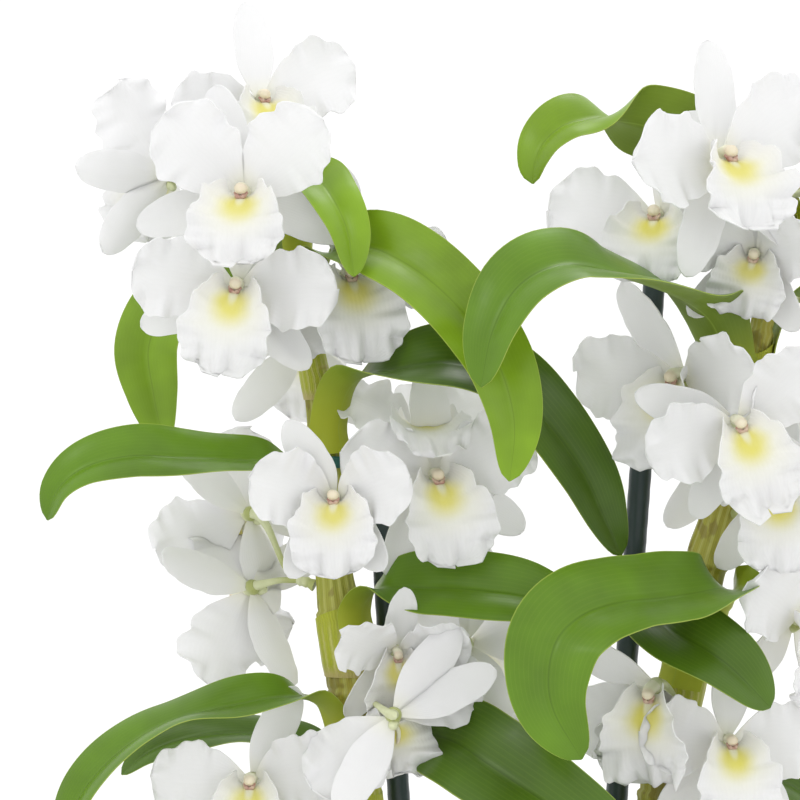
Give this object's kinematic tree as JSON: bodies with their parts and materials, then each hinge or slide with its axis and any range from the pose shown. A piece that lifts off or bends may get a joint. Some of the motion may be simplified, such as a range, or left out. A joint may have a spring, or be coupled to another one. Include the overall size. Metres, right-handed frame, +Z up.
{
  "type": "dendrobium orchid",
  "caption": "Potted dendrobium orchid with two leaning canes clipped to stakes, strap leaves and sprays of ruffled trumpet-lipped blooms over a bark-filled tapered pot.",
  "frame": {"origin": "centre of the underside of the pot, at the object's base", "axes": "+Z up along the stakes and canes, the longest extent; -Y is the side the plant is seen from; +X is to the right as seen from there"},
  "size_m": [0.3729, 0.1609, 0.5906],
  "materials": {
    "pot": "plain terracotta-brown plastic, satin",
    "bark": "rough damp bark chips",
    "cane": "ribbed olive to golden stem with dry sheaths",
    "stake": "dark blue-green plastic coating, satin",
    "clip": "dark teal moulded plastic",
    "leaf": "glossy green strap leaf with fine parallel veins",
    "bloom": "soft white petals with a yellow throat"
  },
  "bodies": {
    "root": {"pot": "pot", "bark": "bark", "cane_left": "cane", "cane_right": "cane", "stake_left": "stake", "stake_right": "stake", "clip_left_1": "clip", "clip_left_2": "clip", "clip_right_1": "clip", "clip_right_2": "clip", "leaf_left_top": "leaf", "leaf_left_bract": "leaf", "leaf_left_arching": "leaf", "leaf_left_long": "leaf", "leaf_left_rear": "leaf", "leaf_left_level": "leaf", "leaf_left_middle": "leaf", "leaf_left_drooping": "leaf", "leaf_left_behind": "leaf", "leaf_left_dark": "leaf", "leaf_left_low": "leaf", "leaf_left_lowest": "leaf", "leaf_right_top": "leaf", "leaf_right_bract": "leaf", "leaf_right_arching": "leaf", "leaf_right_front": "leaf", "leaf_right_short": "leaf", "leaf_right_outer": "leaf", "leaf_right_high": "leaf", "leaf_right_grey": "leaf", "leaf_right_low": "leaf", "leaf_right_lowest": "leaf", "spray_left_top": "bloom", "spray_left_upper": "bloom", "spray_left_upper_right": "bloom", "spray_left_middle": "bloom", "spray_left_middle_right": "bloom", "spray_left_rear": "bloom", "spray_left_lower_right": "bloom", "spray_left_lower": "bloom", "spray_left_low": "bloom", "spray_left_back": "bloom", "spray_right_top": "bloom", "spray_right_upper": "bloom", "spray_right_outer": "bloom", "spray_right_middle": "bloom", "spray_right_lower": "bloom", "spray_right_lowest": "bloom", "spray_right_back": "bloom"}
  },
  "joints": []
}
